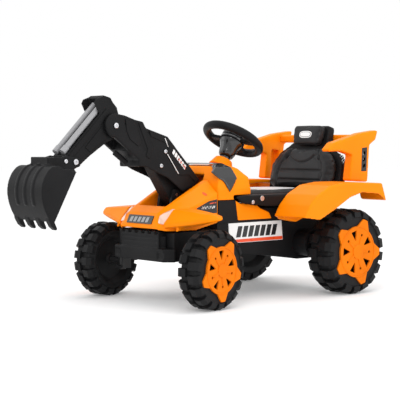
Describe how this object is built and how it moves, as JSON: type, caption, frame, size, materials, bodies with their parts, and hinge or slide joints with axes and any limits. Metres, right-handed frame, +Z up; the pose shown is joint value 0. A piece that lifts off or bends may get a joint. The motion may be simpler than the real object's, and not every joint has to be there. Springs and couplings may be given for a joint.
{
  "type": "ride on digger",
  "caption": "Child's ride-on digger: steered toy tractor on moulded wheels with seat, steering wheel and a hand-worked digger arm and bucket.",
  "frame": {"origin": "middle of the footprint box on the floor", "axes": "+Z up, -Y is forward (nose and digger arm), +X is the driver's left"},
  "size_m": [0.569, 1.2114, 0.5981],
  "materials": {
    "wheel_black": "blow-moulded black plastic, satin",
    "orange_body": "bright orange moulded plastic, semi-gloss",
    "black_body": "satin black moulded plastic with a fine grain",
    "gloss_black": "gloss black moulded plastic",
    "steel": "zinc-plated steel",
    "grey_bar": "light grey painted plastic",
    "lamp_clear": "clear lamp film over pale reflector",
    "label_white": "white label with an orange-red lower stripe",
    "plate_dark": "dark plate with a light border",
    "badge_white": "blank oval badge",
    "pad_black": "black padded leather look, stitched channels",
    "pad_grey": "light grey seat pad",
    "inner_dark": "dark inner parts",
    "button_grey": "grey button"
  },
  "bodies": {
    "chassis": {"front_beam": "black_body", "kingpins": "steel", "chassis_tub": "black_body", "battery": "inner_dark", "rear_axle": "steel", "gearbox_left": "black_body", "gearbox_right": "black_body", "drive_motors": "inner_dark", "rear_nuts": "steel", "front_bumper": "black_body", "hood": "orange_body", "headlights": "lamp_clear", "front_fender_left": "orange_body", "front_fender_right": "orange_body", "number_plate": "plate_dark", "dash_body": "orange_body", "dash_cowl": "gloss_black", "column_collar": "orange_body", "side_labels": "label_white", "seat_base": "black_body", "seat_cushion": "pad_grey", "seat_back_shell": "black_body", "backrest_pad": "pad_black", "headrest_pad": "pad_black", "headrest_badge": "badge_white", "rear_fender_left": "orange_body", "rear_fender_right": "orange_body", "rear_frame_left": "orange_body", "rear_frame_right": "orange_body", "rear_crossbar": "orange_body", "boom_pin": "steel", "arm_brackets": "black_body", "seat_screws": "steel"},
    "steering": {"steering_shaft": "steel", "column_sleeve": "gloss_black", "steering_rim": "black_body", "steering_pad": "black_body"},
    "horn": {"horn_button": "button_grey"},
    "tie": {"tie_rod": "black_body"},
    "knuckle_l": {"knuckle_left": "steel", "front_nut_left": "steel"},
    "knuckle_r": {"knuckle_right": "steel", "front_nut_right": "steel"},
    "wheel_fl": {"front_tyre_left": "wheel_black", "front_cap_left": "orange_body"},
    "wheel_fr": {"front_tyre_right": "wheel_black", "front_cap_right": "orange_body"},
    "wheel_rl": {"rear_tyre_left": "wheel_black", "rear_cap_left": "orange_body"},
    "wheel_rr": {"rear_tyre_right": "wheel_black", "rear_cap_right": "orange_body"},
    "boom": {"boom_shell": "black_body", "boom_strut": "grey_bar", "boom_bolts": "steel", "elbow_pin": "steel"},
    "stick": {"stick_arm": "black_body", "stick_bars": "grey_bar", "bucket_pin": "steel"},
    "bucket": {"bucket_shell": "black_body", "bucket_bolts": "steel"}
  },
  "joints": [
    {"name": "steering_turn", "type": "hinge", "parent": "chassis", "child": "steering", "pos_m": [0, 0.16089, 0.47751], "axis": [0, 0.515, 0.8572], "range_deg": [-47, 19]},
    {"name": "horn_press", "type": "slide", "parent": "steering", "child": "horn", "axis": [0, -0.515, -0.8572], "range_m": [0, 0.003], "stiffness_N_per_m": 400, "springref_m": -0.001},
    {"name": "tie_rod_slide", "type": "slide", "parent": "chassis", "child": "tie", "axis": [1, 0, 0], "range_m": [-0.01045, 0.02511]},
    {"name": "knuckle_left_turn", "type": "hinge", "parent": "chassis", "child": "knuckle_l", "pos_m": [0.162, -0.14671, 0.11231], "axis": [0, 0, 1], "range_deg": [-31.83, 13.17]},
    {"name": "knuckle_right_turn", "type": "hinge", "parent": "chassis", "child": "knuckle_r", "pos_m": [-0.162, -0.14671, 0.11231], "axis": [0, 0, 1], "range_deg": [-31.83, 13.17]},
    {"name": "front_left_roll", "type": "hinge", "parent": "knuckle_l", "child": "wheel_fl", "pos_m": [0.22861, -0.13576, 0.11231], "axis": [0.9868, 0.1622, 0], "continuous": true},
    {"name": "front_right_roll", "type": "hinge", "parent": "knuckle_r", "child": "wheel_fr", "pos_m": [-0.22861, -0.15766, 0.11231], "axis": [0.9868, 0.1622, 0], "continuous": true},
    {"name": "rear_left_roll", "type": "hinge", "parent": "chassis", "child": "wheel_rl", "pos_m": [0.233, 0.42229, 0.13131], "axis": [1, 0, 0], "continuous": true},
    {"name": "rear_right_roll", "type": "hinge", "parent": "chassis", "child": "wheel_rr", "pos_m": [-0.233, 0.42229, 0.13131], "axis": [1, 0, 0], "continuous": true},
    {"name": "boom_pitch", "type": "hinge", "parent": "chassis", "child": "boom", "pos_m": [0, -0.09471, 0.31431], "axis": [-1, 0, 0], "range_deg": [-25, 20]},
    {"name": "stick_swing", "type": "hinge", "parent": "boom", "child": "stick", "pos_m": [0, -0.32971, 0.51431], "axis": [-1, 0, 0], "range_deg": [-20, 30]},
    {"name": "bucket_curl", "type": "hinge", "parent": "stick", "child": "bucket", "pos_m": [0, -0.46371, 0.41431], "axis": [-1, 0, 0], "range_deg": [-35, 10]}
  ],
  "couplings": [
    {"joint": "tie_rod_slide", "follows": "steering_turn", "m_per_rad": -0.03},
    {"joint": "knuckle_left_turn", "follows": "steering_turn", "ratio": 0.66667},
    {"joint": "knuckle_right_turn", "follows": "steering_turn", "ratio": 0.66667}
  ]
}
